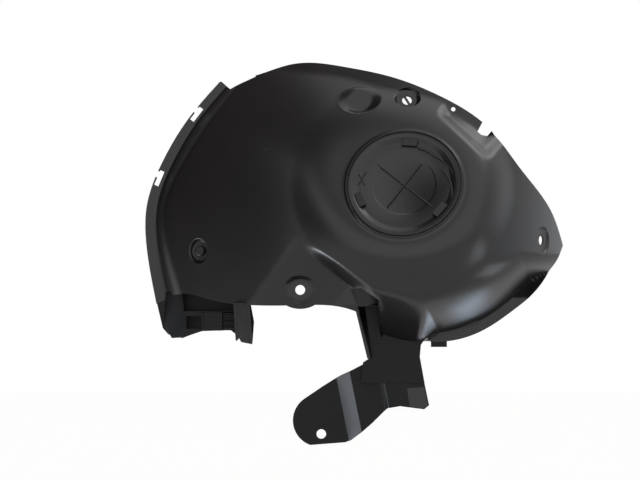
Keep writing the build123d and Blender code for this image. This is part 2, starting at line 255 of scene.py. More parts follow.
def cut(piece, shapes, operation="DIFFERENCE"):
    """Cuts the shapes out of a closed piece, or keeps only what lies in them."""
    points, faces = together(shapes)
    tool = new_object("tool", points, faces)
    add_modifier(piece, "BOOLEAN", object=tool, operation=operation, solver="EXACT")
    settle(piece)
    bpy.data.objects.remove(tool)


def round_edges(piece, width, segments=3, angle=35):
    add_modifier(
        piece,
        "BEVEL",
        width=width * MM,
        segments=segments,
        limit_method="ANGLE",
        angle_limit=math.radians(angle),
        use_clamp_overlap=True,
    )


def dress(piece, material, body, smooth_angle=38):
    """Gives a piece its plastic, soft shading and the body that it moves with."""
    piece.data.materials.clear()
    piece.data.materials.append(material)
    piece.data.shade_smooth()
    piece.data.set_sharp_from_angle(angle=math.radians(smooth_angle))
    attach(piece, body)
    print(piece.name, len(piece.data.polygons), "faces")


def small_piece(name, shapes, material, body, edge):
    """One object from several shapes, with its edges rounded."""
    piece = new_object(name, *together(shapes))
    round_edges(piece, edge)
    dress(piece, material, body)


# %% [markdown]
# The big skin is a height over the plane of the fender lip, as on the real tool that moulds it.
# Bends of that height meet softly, so each one is joined to the next by a smooth minimum or maximum.


# %% Soft joins
def ease(t):
    """3t^2 - 2t^3 between 0 and 1, flat outside."""
    t = np.clip(t, 0.0, 1.0)
    return t * t * (3 - 2 * t)


def lower_of(a, b, blend):
    """The lower of two heights, rounded where they differ by less than blend."""
    t = np.maximum(blend - np.abs(a - b), 0.0) / blend
    return np.minimum(a, b) - t * t * blend / 4


def higher_of(a, b, blend):
    """The higher of two heights, rounded in the same way."""
    return -lower_of(-a, -b, blend)


def along_across(x, z, start, end):
    """Place along a line from 0 to 1, and distance to its upper side."""
    length = math.hypot(end[0] - start[0], end[1] - start[1])
    ux = (end[0] - start[0]) / length
    uz = (end[1] - start[1]) / length
    along = ((x - start[0]) * ux + (z - start[1]) * uz) / length
    return along, (z - start[1]) * ux - (x - start[0]) * uz


# %% [markdown]
# The bulge over the wheel falls away from its crown at a different rate to each side.
# A panel is pressed in at the lower front, the lower rear wall rolls inwards, a pocket is pressed above
# the arm, and a flat seat carries the access cover.

# %% Height of the bulge
LIP_Y = 40.0
CROWN = (147.0, 197.0)
CROWN_H = 200.0
FALL_FRONT, FALL_REAR, FALL_TOP, FALL_LOW = 0.00144, 0.0064, 0.00193, 0.0010
FALL_BLEND = 1.5
PANEL_A, PANEL_B = (-25.0, 245.0), (41.0, 197.0)
PANEL_DEPTH, PANEL_FLANK, PANEL_START, PANEL_LAP = 48.0, 17.0, 0.1, 0.3
ROLL_A, ROLL_B = (148.0, 129.0), (260.0, 197.0)
ROLL_SAG, ROLL_LENGTH, ROLL_OVER, ROLL_BLEND, LOW_FLANGE_H = 13.0, 82.0, 5.0, 25.0, 55.0
POCKET_X0, POCKET_X1, POCKET_Z, POCKET_H = 66.0, 178.0, 128.0, 66.0
POCKET_RISE, POCKET_TURN, POCKET_FLANK = 2.15, 0.61, 3.0
POCKET_FLANK_BLEND, POCKET_BLEND = 20.0, 14.0
HATCH = (99.3, 311.8)
HATCH_H, SEAT_RISE_X, SEAT_RISE_Z = 173.0, 0.16, -0.44
SEAT_R, SEAT_BLEND, SEAT_OVAL = 76.0, 62.0, 0.92
SCOOP_A, SCOOP_B, SCOOP_DEPTH, SCOOP_FLANK = (151.0, 384.0), (193.0, 344.0), 9.0, 14.0
SCOOP_LAP, SCOOP_RUN_IN, SCOOP_RUN_OUT = 1.2, 3.0, 0.3


def bulge(x, z):
    """Crown less its fall, with the panel, roll, pocket, seat and scoop joined in."""
    u, w = x - CROWN[0], z - CROWN[1]
    fall_u = np.where(u < 0, FALL_FRONT, FALL_REAR) * u * u
    fall_w = np.where(w > 0, FALL_TOP, FALL_LOW) * w * w
    h = CROWN_H - (fall_u**FALL_BLEND + fall_w**FALL_BLEND) ** (1 / FALL_BLEND)
    along, across = along_across(x, z, PANEL_A, PANEL_B)
    pressed = ease((1 - PANEL_START) * along + PANEL_START) * ease(PANEL_LAP - across / PANEL_FLANK)
    h = h - PANEL_DEPTH * pressed
    along, across = along_across(x, z, ROLL_A, ROLL_B)
    across = across + ROLL_SAG * np.maximum(0.0, 1 - (2 * along - 1) ** 2)
    short = np.maximum(1 - across / ROLL_LENGTH, 0.0)
    short = np.where(short < 1, short * short, 2 * short - 1)
    h = lower_of(h, LOW_FLANGE_H + (CROWN_H + ROLL_OVER - LOW_FLANGE_H) * (1 - short), ROLL_BLEND)
    pocket = POCKET_H + POCKET_RISE * (z - POCKET_Z) + POCKET_TURN * np.maximum(x - POCKET_X0, 0.0)
    pocket = higher_of(pocket, POCKET_H + POCKET_FLANK * (x - POCKET_X1), POCKET_FLANK_BLEND)
    h = lower_of(h, pocket, POCKET_BLEND)
    seat = HATCH_H + SEAT_RISE_X * (x - HATCH[0]) + SEAT_RISE_Z * (z - HATCH[1])
    reach = np.hypot(x - HATCH[0], (z - HATCH[1]) / SEAT_OVAL)
    h = seat + (h - seat) * ease((reach - SEAT_R) / SEAT_BLEND)
    along, across = along_across(x, z, SCOOP_A, SCOOP_B)
    ends = ease(SCOOP_RUN_IN * along + SCOOP_LAP) * ease((SCOOP_LAP - along) / SCOOP_RUN_OUT)
    return h - SCOOP_DEPTH * ease(across / SCOOP_FLANK) * ends


def bulge_at(x, z):
    """The bulge over one point, as a plain number."""
    return float(bulge(np.array(x), np.array(z)))


print("crown height", bulge_at(*CROWN))

# %% [markdown]
# At the fender lip the skin turns through a steep wall into a flat strip with a fine bead along its
# inner edge.
# The upper and lower rear edges turn out into narrow flanges, which fall away at their ends.

# %% Height of the whole skin
LIP_WIDTH, LIP_WALL_RISE, BEAD, BEAD_HALF = 15.0, 2.6, 1.0, 2.2
UP_H, UP_RISE, UP_LEAN, UP_WIDE = 57.0, 0.36, 0.45, 18.0
UP_END_Z, UP_END_FALL = 378.0, 3.0
LOW_END_X, LOW_END_FALL, LOW_TOP_Z, LOW_TOP_FALL = 138.0, 2.0, 172.0, 0.8
UP_BLEND, LOW_BLEND, WALL_BLEND, LIP_BLEND = 3.0, 5.0, 9.0, 3.0
FAR_FROM_LIP = 200.0


def skin_height(x, z, lip_offset=FAR_FROM_LIP, top_offset=0.0):
    """The bulge with its flanges.

    The offsets are the distances from the front edge, and from the top edge, from which the upper flange
    rises a little.
    """
    h = bulge(x, z)
    flange = UP_H + UP_RISE * x + UP_LEAN * np.minimum(top_offset, UP_WIDE)
    h = higher_of(h, flange - UP_END_FALL * np.maximum(0.0, UP_END_Z - z), UP_BLEND)
    fall = LOW_END_FALL * np.maximum(0.0, LOW_END_X - x) + LOW_TOP_FALL * np.maximum(0.0, z - LOW_TOP_Z)
    h = higher_of(h, LOW_FLANGE_H - fall, LOW_BLEND)
    h = lower_of(h, LIP_WALL_RISE * (lip_offset - LIP_WIDTH), WALL_BLEND)
    bead = BEAD * np.exp(-(((lip_offset - LIP_WIDTH) / BEAD_HALF) ** 2))
    return higher_of(h, 0.0, LIP_BLEND) + bead


print("upper flange at its end", round(float(skin_height(np.array(200.0), np.array(380.0))), 1))

# %% [markdown]
# Four smooth edges bound the skin.
# Each is a curve through a few points, as a thin strip of wood bends between nails.
# The upper part of the front edge is the arc of the fender lip, about the axis of the wheel.

# %% Edges of the skin
WHEEL = (143.0, 174.4)
LIP_R = 386.0
LIP_END_INSET = 2.5


def smooth_curve(points):
    """Natural cubic spline through the points, run by chord length from 0 to 1."""
    points = np.array(points, float)
    gaps = np.linalg.norm(np.diff(points, axis=0), axis=1)
    knots = np.concatenate([[0.0], np.cumsum(gaps)]) / gaps.sum()
    span = np.diff(knots)
    inner = np.arange(1, len(points) - 1)
    system = np.eye(len(points))
    system[inner, inner - 1] = span[:-1]
    system[inner, inner] = 2 * (span[:-1] + span[1:])
    system[inner, inner + 1] = span[1:]
    pull = np.zeros_like(points)
    pull[1:-1] = 6 * np.diff(np.diff(points, axis=0) / span[:, None], axis=0)
    bend = np.linalg.solve(system, pull)

    def at(t):
        k = np.clip(np.searchsorted(knots, t, side="right") - 1, 0, len(span) - 1)
        w = span[k][..., None]
        a = (t - knots[k])[..., None]
        b = w - a
        cubic = (bend[k] * b**3 + bend[k + 1] * a**3) / (6 * w)
        first = (points[k] / w - bend[k] * w / 6) * b
        second = (points[k + 1] / w - bend[k + 1] * w / 6) * a
        return cubic + first + second

    return at


def lip_point(angle, inset=0.0):
    """A point on the arc of the lip, at an angle in degrees and set in by some millimetres."""
    turn = math.radians(angle)
    radius = LIP_R - inset
    return WHEEL[0] + radius * math.cos(turn), WHEEL[1] + radius * math.sin(turn)


CORNER_LOW, CORNER_TOP, TIP, POCKET_END = (-211, 163), lip_point(135), (305, 238), (72, 124)
front_edge = smooth_curve(
    [CORNER_LOW, (-223.5, 235), (-225.3, 262), lip_point(163, LIP_END_INSET)]
    + [lip_point(154), lip_point(144), CORNER_TOP]
)
top_edge = smooth_curve(
    [CORNER_TOP, (-82, 453), (-42, 465.4), (-20, 467.7), (28, 461.3), (88, 446.7), (146, 422)]
    + [(205, 381), (243, 333), (288, 278.5), TIP]
)
rear_edge = smooth_curve([POCKET_END, (115, 119), (160, 118), (200, 130), (240, 156), (277, 189), TIP])
low_edge = smooth_curve(
    [CORNER_LOW, (-197, 170), (-178, 177), (-140, 171), (-88, 165), (-25, 165), (28, 162)]
    + [(54, 150), POCKET_END]
)
print("edges from", CORNER_LOW, "to", TIP)

# %% [markdown]
# A Coons patch spreads a net of points between the edges.
# It adds the two blends of opposite edges and takes the blend of the corners away.
# A plain grid could be cut to the outline too, but its lines would cross the steep wall at the lip aslant.
# The net is finer along the lip, where that wall stands.

# %% Net of the skin
LIP_SPAN = 36.0
ROWS, LIP_COLUMNS, BULGE_COLUMNS = 180, 36, 190
t = np.linspace(0, 1, ROWS)
front, rear = front_edge(t), rear_edge(t)
width = np.linalg.norm(rear - front, axis=1)[:, None]
near_lip = np.linspace(0, LIP_SPAN, LIP_COLUMNS, endpoint=False) / width
beyond = LIP_SPAN / width + (1 - LIP_SPAN / width) * np.linspace(0, 1, BULGE_COLUMNS)
s = np.hstack([near_lip, beyond])
up = t[:, None, None]
over = s[..., None]
corners = [edge(np.array(end)) for edge in (low_edge, top_edge) for end in (0.0, 1.0)]
blend_left = corners[0] * (1 - up) + corners[2] * up
blend_right = corners[1] * (1 - up) + corners[3] * up
net = low_edge(s) * (1 - up) + top_edge(s) * up
net = net + (front[:, None] - blend_left) * (1 - over) + (rear[:, None] - blend_right) * over
from_top = (1 - t)[:, None] * np.linalg.norm(top_edge(s) - low_edge(s), axis=-1)
height = skin_height(net[..., 0], net[..., 1], s * width, from_top)
outer = np.stack([net[..., 0], LIP_Y - height, net[..., 1]], -1)
outer = np.clip(outer, np.array(cad_low) / MM, np.array(cad_high) / MM)
print("skin net", s.shape, "tallest", round(float(height.max()), 1))

# %% [markdown]
# A second sheet behind the first gives the skin its 2.5 mm wall.
# It is moved along Y, further where the skin is steep, so that the wall keeps its thickness.
# A Solidify modifier moves it along the normals, where the sheet could fold over itself in tight bends.

# %% Wall of the skin
SKIN = 2.5
STEEPEST = 2.3


def walled(sheet, thickness):
    """A closed shell: the sheet, its copy set back along Y, and a strip round the rim."""
    rows, columns = sheet.shape[:2]
    normal = np.cross(np.gradient(sheet, axis=0), np.gradient(sheet, axis=1))
    steep = np.minimum(np.linalg.norm(normal, axis=-1) / np.abs(normal[..., 1]), STEEPEST)
    back = sheet + (thickness * steep)[..., None] * np.array([0.0, 1.0, 0.0])
    back[..., 1] = np.minimum(back[..., 1], LIP_Y + thickness)
    corner = np.arange(rows * columns).reshape(rows, columns)
    rim = np.concatenate([corner[0], corner[1:, -1], corner[-1, -2::-1], corner[-2:0:-1, 0]])
    after = np.roll(rim, -1)
    total = rows * columns
    strip = np.column_stack([rim, after, after + total, rim + total]).tolist()
    faces = grid_faces(rows, columns)
    faces_back = (np.array(faces)[:, ::-1] + total).tolist()
    return np.vstack([sheet.reshape(-1, 3), back.reshape(-1, 3)]), faces + faces_back + strip


skin = new_object("liner_skin", *walled(outer, SKIN))
print(skin.name, len(skin.data.vertices), "points")

# %% [markdown]
# Cups, rims and ribs lean with the skin that carries them.
# Each is laid out in a frame of its own, with an origin, two directions in its plane and the way it faces.
# Turning whole objects would do as well, but pieces here stay unturned at the origin.

# %% Frames on the skin
THROUGH_BACK, THROUGH_LONG = 80.0, 420.0


def unit(vector):
    return np.array(vector, float) / np.linalg.norm(vector)


def facing(x, z, h, lean_x=0.0, lean_z=0.0):
    """A local frame: its origin, two directions in its plane and the way it faces."""
    out = unit((lean_x, -1, lean_z))
    right = unit((1, lean_x, 0))
    return np.array([x, LIP_Y - h, z]), right, np.cross(out, right), out


def lay(place, u, v, w):
    """Points at u, v in the plane of a local frame and w out of it."""
    origin, right, up_way, out = place
    u, v, w = np.broadcast_arrays(u, v, w)
    return origin + u[..., None] * right + v[..., None] * up_way + w[..., None] * out


def rod(place, radius, low, high, count=64, wide=1.0):
    """A round solid about the axis of a local frame, or an oval one that is wide times as broad."""
    turn = np.arange(count) * 2 * np.pi / count
    loop = lay(place, wide * radius * np.cos(turn), radius * np.sin(turn), low)
    return prism(loop, (high - low) * place[3])


def slab(place, centre, angle, size, low, high):
    """A box in a local frame: centre and size in its plane, turned by an angle, from low to high."""
    turn = math.radians(angle)
    along = np.array([1, -1, -1, 1]) * size[0] / 2
    across = np.array([1, 1, -1, -1]) * size[1] / 2
    u = centre[0] + along * math.cos(turn) - across * math.sin(turn)
    v = centre[1] + along * math.sin(turn) + across * math.cos(turn)
    return prism(lay(place, u, v, low), (high - low) * place[3])


def revolve(place, profile, count=180):
    """A closed round solid: a loop of radius and height carried once round the axis of a local frame."""
    profile = np.asarray(profile, float)
    turn = np.linspace(0, 2 * np.pi, count, endpoint=False)
    u = profile[:, :1] * np.cos(turn)
    v = profile[:, :1] * np.sin(turn)
    points = lay(place, u, v, profile[:, 1:])
    return points.reshape(-1, 3), grid_faces(len(profile), count, round_columns=True, round_rows=True)


def polar(radius, angle):
    turn = math.radians(angle)
    return radius * math.cos(turn), radius * math.sin(turn)


def through(outline):
    """A cutter that runs through the whole part along Y, with an outline of x and z."""
    outline = np.asarray(outline, float)
    loop = np.column_stack([outline[:, 0], np.full(len(outline), THROUGH_BACK), outline[:, 1]])
    return prism(loop, (0, -THROUGH_LONG, 0))


hatch = facing(*HATCH, HATCH_H, -SEAT_RISE_X, -SEAT_RISE_Z)
print("hatch faces", hatch[3].round(3))

# %% [markdown]
# Five round fixing places are pressed into the skin.
# Each has a flat floor, a rounded wall and a narrow collar on the skin round the hole that is cut for it.

# %% Places of the cups
SCREW_R = 6.0
COLLAR = 5.0


def cup_at(x, z, depth, floor, wall, hole=0.0, wide=1.0, lean=(0.0, 0.0)):
    """The frame and the sizes of a cup whose floor lies at a depth under the skin."""
    place = facing(x, z, bulge_at(x, z) - depth, *lean)
    return dict(place=place, hole=hole, floor=floor, wall=wall, wide=wide)


CUPS = {
    "panel_cup": cup_at(-25.8, 183.9, 1.77, floor=12.5, wall=6.0, hole=SCREW_R, wide=1.25),
    "tip_cup": cup_at(272.0, 244.4, 5.9, floor=14.0, wall=3.5, hole=SCREW_R, lean=(1.5, 0.0)),
    "blind_cup": cup_at(47.7, 417.4, 2.67, floor=13.0, wall=11.0, wide=1.15, lean=(-0.05, 0.4)),
    "bar_cup": cup_at(105.6, 417.0, 9.2, floor=11.5, wall=5.5, hole=SCREW_R, lean=(0.0, 0.4)),
    "socket_cup": cup_at(-150.0, 231.0, 9.78, floor=12.0, wall=4.0, lean=(-0.55, 0.0)),
}
print("cups:", list(CUPS))

# %% [markdown]
# The clip notches, the corner cuts, the holes and the seats of the cups all go through the wall.
# Their cutters are joined into one object, so that a single Boolean modifier cuts them in one go.

# %% Cut the skin
RIM_R, RIM_W = 71.0, 1.8
LIP_SLOT = 20.0
MOUTH_LOW, MOUTH_HIGH = -8.0, 0.0
SLOT_INNER, SLOT_OUTER, SLOT_OPEN = -8.0, -2.2, 6.0
SLOT_ANGLES = (142.6, 156.9)
CORNER_CUT = [(-127.5, 447.5), (-115.5, 436.5), (-83, 451), (-83, 480), (-127.5, 480)]
FLANGE_CUT = [(197, 389), (190.4, 377), (195.3, 372.8), (202.6, 371.8), (205, 374.2), (214, 385)]
ARM_CUT = [(46, 158), (40, 173), (36, 185), (48, 187), (70, 171.5), (75, 121), (64, 100), (50, 140)]
FLANGE_HOLE, FLANGE_HOLE_R, FLANGE_HOLE_ENDS = (161.8, 405.2), 2.7, (-80, 300)
HATCH_CUT, CUP_CUT, CUP_CUT_GAP = 30, 24, 0.3


def clip_notch(angle):
    """Outline of a notch in the lip: a wide inner slot with a narrower mouth, turned to its place."""
    turn = math.radians(angle)
    half = LIP_SLOT / 2
    outline = [(SLOT_OPEN, MOUTH_LOW), (SLOT_OPEN, MOUTH_HIGH), (SLOT_OUTER, MOUTH_HIGH)]
    outline += [(SLOT_OUTER, half), (SLOT_INNER, half), (SLOT_INNER, -half), (SLOT_OUTER, -half)]
    outline = np.array(outline + [(SLOT_OUTER, MOUTH_LOW)])
    radial = np.array([math.cos(turn), math.sin(turn)])
    tangent = np.array([-math.sin(turn), math.cos(turn)])
    return np.array(lip_point(angle)) + outline[:, :1] * radial + outline[:, 1:] * tangent


cutters = [through(clip_notch(angle)) for angle in SLOT_ANGLES]
cutters += [through(outline) for outline in (CORNER_CUT, FLANGE_CUT, ARM_CUT)]
cutters.append(rod(facing(*FLANGE_HOLE, 0), FLANGE_HOLE_R, *FLANGE_HOLE_ENDS))
cutters.append(rod(hatch, RIM_R - RIM_W / 2, -HATCH_CUT, HATCH_CUT, count=128))
for cup in CUPS.values():
    cup_edge = cup["floor"] + cup["wall"] + CUP_CUT_GAP
    cutters.append(rod(cup["place"], cup_edge, -CUP_CUT, CUP_CUT, count=72, wide=cup["wide"]))
cut(skin, cutters)
dress(skin, liner_plastic, "liner")
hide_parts("liner")

# %% [markdown]
# A cup is a set of rings about its axis, from the hole or the middle of its floor out to the collar.
# Its height eases from the plane of the floor up to the skin, wherever the skin happens to be.
# The rings need no cutting, and the collar hides the seam.

# %% Round cups
CUP_THICK = 2.2
COLLAR_LIFT = 0.1
FLOOR_RINGS, WALL_RINGS, COLLAR_RINGS, CUP_SIDES = 6, 16, 5, 96
FLAT_SHARE = 0.8
SEARCH_LOW, SEARCH_HIGH, HALVINGS = -20.0, 30.0, 30


def on_skin(place, u, v):
    """How far out of a local frame's plane the skin is met, found by halving a span many times."""
    low = np.full(u.shape, SEARCH_LOW)
    high = np.full(u.shape, SEARCH_HIGH)
    for _ in range(HALVINGS):
        middle = (low + high) / 2
        x, y, z = np.moveaxis(lay(place, u, v, middle), -1, 0)
        outside = y < LIP_Y - skin_height(x, z)
        low = np.where(outside, low, middle)
        high = np.where(outside, middle, high)
    return (low + high) / 2


def cup_sheet(place, hole, floor, wall, wide):
    """Rings from the hole to the collar.

    The height eases from the floor's plane up to the skin, and the collar sinks into the skin by a hair so
    that no edge shows.
    """
    wall_end = floor + wall
    rings = [np.linspace(hole, floor, FLOOR_RINGS)[:-1], np.linspace(floor, wall_end, WALL_RINGS)[:-1]]
    rings.append(np.linspace(wall_end, wall_end + COLLAR, COLLAR_RINGS))
    reach = np.concatenate(rings)[:, None]
    turn = np.linspace(0, 2 * np.pi, CUP_SIDES, endpoint=False)
    flat = FLAT_SHARE * floor
    stretch = 1 + (wide - 1) * ease((reach - flat) / (wall_end - flat))
    u = stretch * reach * np.cos(turn)
    v = reach * np.sin(turn)
    lift = COLLAR_LIFT * (1 - 2 * ease((reach - wall_end) / COLLAR))
    w = (on_skin(place, u, v) + lift) * ease((reach - floor) / wall)
    return lay(place, u, v, w)


for name, cup in CUPS.items():
    sheet = cup_sheet(**cup)
    faces = grid_faces(*sheet.shape[:2], round_columns=True)
    piece = new_object(name, sheet.reshape(-1, 3), faces, solid=False)
    add_modifier(piece, "SOLIDIFY", thickness=CUP_THICK * MM, offset=-1.0)
    dress(piece, liner_plastic, "liner")

# %% [markdown]
# A bar crosses the hole of one cup, and a stud stands in another.
# Both are small enough for a plain box and a plain rod with rounded edges.

# %% Bar and stud
BAR_LONG, BAR_W, BAR_TURN, BAR_ENDS = 2 * SCREW_R + 2, 3.0, -60, (-2.2, -0.2)
STUD_ENDS = (-1.0, 5.0)
bar = slab(CUPS["bar_cup"]["place"], (0, 0), BAR_TURN, (BAR_LONG, BAR_W), *BAR_ENDS)
small_piece("hole_bar", [bar], liner_plastic, "liner", edge=0.5)
stud = rod(CUPS["socket_cup"]["place"], SCREW_R, *STUD_ENDS)
small_piece("socket_stud", [stud], liner_plastic, "liner", edge=1.0)

# %% [markdown]
# The access opening has a thin raised rim with a small fillet at its foot, and a seat inside for the cover.
# Both are a profile of radius and height that is carried round the axis of the opening.
# Three notches in the seat let the lugs of the cover pass.

# %% Rim and seat
OPEN_R = 63.5
RIM_PROUD, RIM_DEEP = 3.0, 9.0
LUG_ANGLES = (86.0, 201.0, 323.0)
TWIST_DEG = 30.0
LUG_R, LUG_W, LUG_THICK, LUG_GAP = 66.2, 18.0, 3.0, 1.0
NOTCH_ENDS = (-6, 4)
CUP_R = 62.0
rim_inner = RIM_R - RIM_W
rim_profile = [(RIM_R + 4.5, 0.04), (RIM_R + 2.2, 0.25), (RIM_R + 0.9, 0.9), (RIM_R + 0.3, 1.9)]
rim_profile += [(RIM_R, RIM_PROUD - 0.4), (RIM_R - 0.5, RIM_PROUD), (rim_inner + 0.5, RIM_PROUD)]
rim_profile += [(rim_inner, RIM_PROUD - 0.5), (rim_inner, -RIM_DEEP), (RIM_R, -RIM_DEEP), (RIM_R, -1.0)]
rim_profile += [(RIM_R + 4.5, -1.0)]
rim = new_object("hatch_rim", *revolve(hatch, rim_profile))
dress(rim, liner_plastic, "liner")

seat_profile = [(OPEN_R, 0), (RIM_R - 1, 0), (RIM_R - 1, -SKIN), (OPEN_R, -SKIN)]
seat = new_object("hatch_seat", *revolve(hatch, seat_profile))
notch_middle = (CUP_R + LUG_R) / 2
notch_size = (LUG_R - CUP_R + 2 * LUG_GAP, LUG_W + 2 * LUG_GAP)
notch_angles = [angle + TWIST_DEG for angle in LUG_ANGLES]
cut(seat, [slab(hatch, polar(notch_middle, a), a, notch_size, *NOTCH_ENDS) for a in notch_angles])
dress(seat, liner_plastic, "liner")

# %% [markdown]
# The plastic entered the tool at one point of the dome, and the gate left a small ring there.
# Its frame leans with the skin, whose slope is taken over a millimetre to each side.

# %% Gate mark
GATE, GATE_R, GATE_WIRE = (-68.5, 355.9), 2.2, 0.5
WIRE_SIDES, GATE_SIDES = 12, 32
slope_x = (bulge_at(GATE[0] + 1, GATE[1]) - bulge_at(GATE[0] - 1, GATE[1])) / 2
slope_z = (bulge_at(GATE[0], GATE[1] + 1) - bulge_at(GATE[0], GATE[1] - 1)) / 2
gate_place = facing(*GATE, bulge_at(*GATE), -slope_x, -slope_z)
turn = np.linspace(0, 2 * np.pi, WIRE_SIDES, endpoint=False)
wire = np.column_stack([GATE_R + GATE_WIRE * np.cos(turn), GATE_WIRE * np.sin(turn)])
gate = new_object("gate_mark", *revolve(gate_place, wire, GATE_SIDES))
dress(gate, liner_plastic, "liner")

# %% [markdown]
# The access cover is a shallow cup with a flange and a dished floor.
# Like the rim, it is one profile carried round the axis, so its steps stay crisp with few faces.

# %% Access cover
COVER_GAP, COVER_FLANGE, COVER_FLANGE_R = 1.0, 2.0, 68.2
CUP_DEEP, DISH_R, DISH_DEEP = 5.0, 38.0, 1.5
FLANGE_TOP = COVER_GAP + COVER_FLANGE
FLOOR_W = SKIN - CUP_DEEP
wall_in = CUP_R - SKIN
dish_floor = FLOOR_W - DISH_DEEP
dish_back = -CUP_DEEP - DISH_DEEP
cover_profile = [(COVER_FLANGE_R, COVER_GAP), (COVER_FLANGE_R, FLANGE_TOP - 0.6)]
cover_profile += [(COVER_FLANGE_R - 0.6, FLANGE_TOP), (CUP_R + 1.0, FLANGE_TOP)]
cover_profile += [(CUP_R + 0.2, FLANGE_TOP - 0.3), (wall_in - 2.5, FLOOR_W + 0.5)]
cover_profile += [(wall_in - 3.5, FLOOR_W + 0.1), (wall_in - 4.5, FLOOR_W)]
cover_profile += [(DISH_R + 1.6, FLOOR_W), (DISH_R + 0.7, FLOOR_W - 0.3), (DISH_R - 0.6, dish_floor + 0.3)]
cover_profile += [(DISH_R - 1.8, dish_floor), (0, dish_floor), (0, dish_back)]
cover_profile += [(DISH_R + SKIN, dish_back), (DISH_R + SKIN, -CUP_DEEP), (CUP_R, -CUP_DEEP)]
cover_profile += [(CUP_R, COVER_GAP)]
cover = new_object("cover_shell", *revolve(hatch, cover_profile))
dress(cover, cover_plastic, "access_cover", smooth_angle=30)
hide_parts("access_cover")

# %% [markdown]
# A thin crossed rib stiffens the floor of the cover, and three blocks and some fine ribs its rim.
# Three lugs catch under the seat when the cover is twisted.
# Two of the fine ribs wind outwards, so their radius follows the angle.

# %% Ribs, blocks and lugs of the cover
CROSS_RIB, CROSS_LONG, CROSS_SHORT, RIB_PROUD = 1.4, 44.0, 34.0, 0.8
CROSS_TURN_LONG, CROSS_TURN_SHORT = -39, 56
BLOCK_R, BLOCK_DEEP, BLOCK_W, BLOCK_TALL = 55.5, 9.0, 19.0, 6.0
FINE_RIB_R, FINE_RIB_W, FINE_RIB_TALL = 52.0, 1.1, 1.6
RIB_LOW, CROSS_LOW = -CUP_DEEP + 1, -CUP_DEEP - 1


def spiral_rib(place, angles, radii, thick, low, high, count=48):
    """A rib that winds outwards.

    Its radius follows the angle through the given pairs, and a loop of an inner and an outer line half the
    width away closes it.
    """
    angle = np.linspace(angles[0], angles[-1], count)
    middle = np.interp(-angle, -np.array(angles, float), radii)
    turn = np.radians(np.concatenate([angle, angle[::-1]]))
    reach = np.concatenate([middle + thick / 2, middle[::-1] - thick / 2])
    return prism(lay(place, reach * np.cos(turn), reach * np.sin(turn), low), (high - low) * place[3])


cross_top = FLOOR_W + RIB_PROUD
cross = [slab(hatch, (0, 0), CROSS_TURN_LONG, (2 * CROSS_LONG, CROSS_RIB), CROSS_LOW, cross_top)]
cross.append(slab(hatch, (0, 0), CROSS_TURN_SHORT, (2 * CROSS_SHORT, CROSS_RIB), CROSS_LOW, cross_top))
small_piece("cover_cross", cross, cover_plastic, "access_cover", edge=0.25)
block_size = (BLOCK_DEEP, BLOCK_W)
blocks = [slab(hatch, polar(BLOCK_R, a), a, block_size, RIB_LOW, RIB_LOW + BLOCK_TALL) for a in LUG_ANGLES]
small_piece("cover_blocks", blocks, cover_plastic, "access_cover", edge=0.7)
lug_middle, lug_size = (CUP_R + LUG_R - 1) / 2, (LUG_R - CUP_R + 1, LUG_W)
lug_top = -SKIN - COVER_GAP
lugs = [slab(hatch, polar(lug_middle, a), a, lug_size, lug_top - LUG_THICK, lug_top) for a in LUG_ANGLES]
small_piece("cover_lugs", lugs, cover_plastic, "access_cover", edge=0.4)
fine_top = FLOOR_W + FINE_RIB_TALL
ribs = [spiral_rib(hatch, (74, 49, 27, 6), (50.6, 50.8, 56.7, 61.8), 1.2, RIB_LOW, FLOOR_W + 3.2)]
ribs.append(spiral_rib(hatch, (23, -1, -20), (49.4, 57.0, 61.8), 2.0, RIB_LOW, FLOOR_W + 4.2))
ribs.append(slab(hatch, polar(FINE_RIB_R, 170), 62, (19, FINE_RIB_W), RIB_LOW, fine_top))
ribs.append(slab(hatch, polar(FINE_RIB_R, 172), 118, (16, FINE_RIB_W), RIB_LOW, fine_top))
small_piece("cover_ribs", ribs, cover_plastic, "access_cover", edge=0.3)

# %% [markdown]
# The arm is a folded strip with a stepped foot, moulded on under the pocket.
# The folds are a profile pushed along the foot, and the outline of the foot then trims them.
# The folds get their large radius before the trim, and the cut edges a small one after it.

# %% Foot of the arm
ARM_H, FOOT_H, FOOT_MID_H, FOOT_END_H = 70.0, 40.0, 60.0, 61.0
FOOT_FOLD_LEAN, FOOT_TOP_Z, FOLD_Z, FOOT_LENGTH = 0.2, 95.0, 30.0, 125.0
FOLD_ROUND, FOOT_EDGE, FOOT_HOLE_CUT = 2.2, 0.5, 20


def arc_through(first, middle, last, count=24):
    """Points on the circle through three points, from the first to the last by way of the middle."""
    a, b, c = (np.array(p, float) for p in (first, middle, last))
    rows = np.array([b - a, c - a]) * 2
    centre = np.linalg.solve(rows, np.array([b @ b - a @ a, c @ c - a @ a]))
    angles = [math.atan2(*(p - centre)[::-1]) for p in (a, b, c)]
    sweep = (angles[2] - angles[0]) % (2 * math.pi)
    if (angles[1] - angles[0]) % (2 * math.pi) > sweep:
        sweep -= 2 * math.pi
    turn = angles[0] + np.linspace(0, sweep, count)
    radius = np.linalg.norm(a - centre)
    return (centre + radius * np.column_stack([np.cos(turn), np.sin(turn)])).tolist()


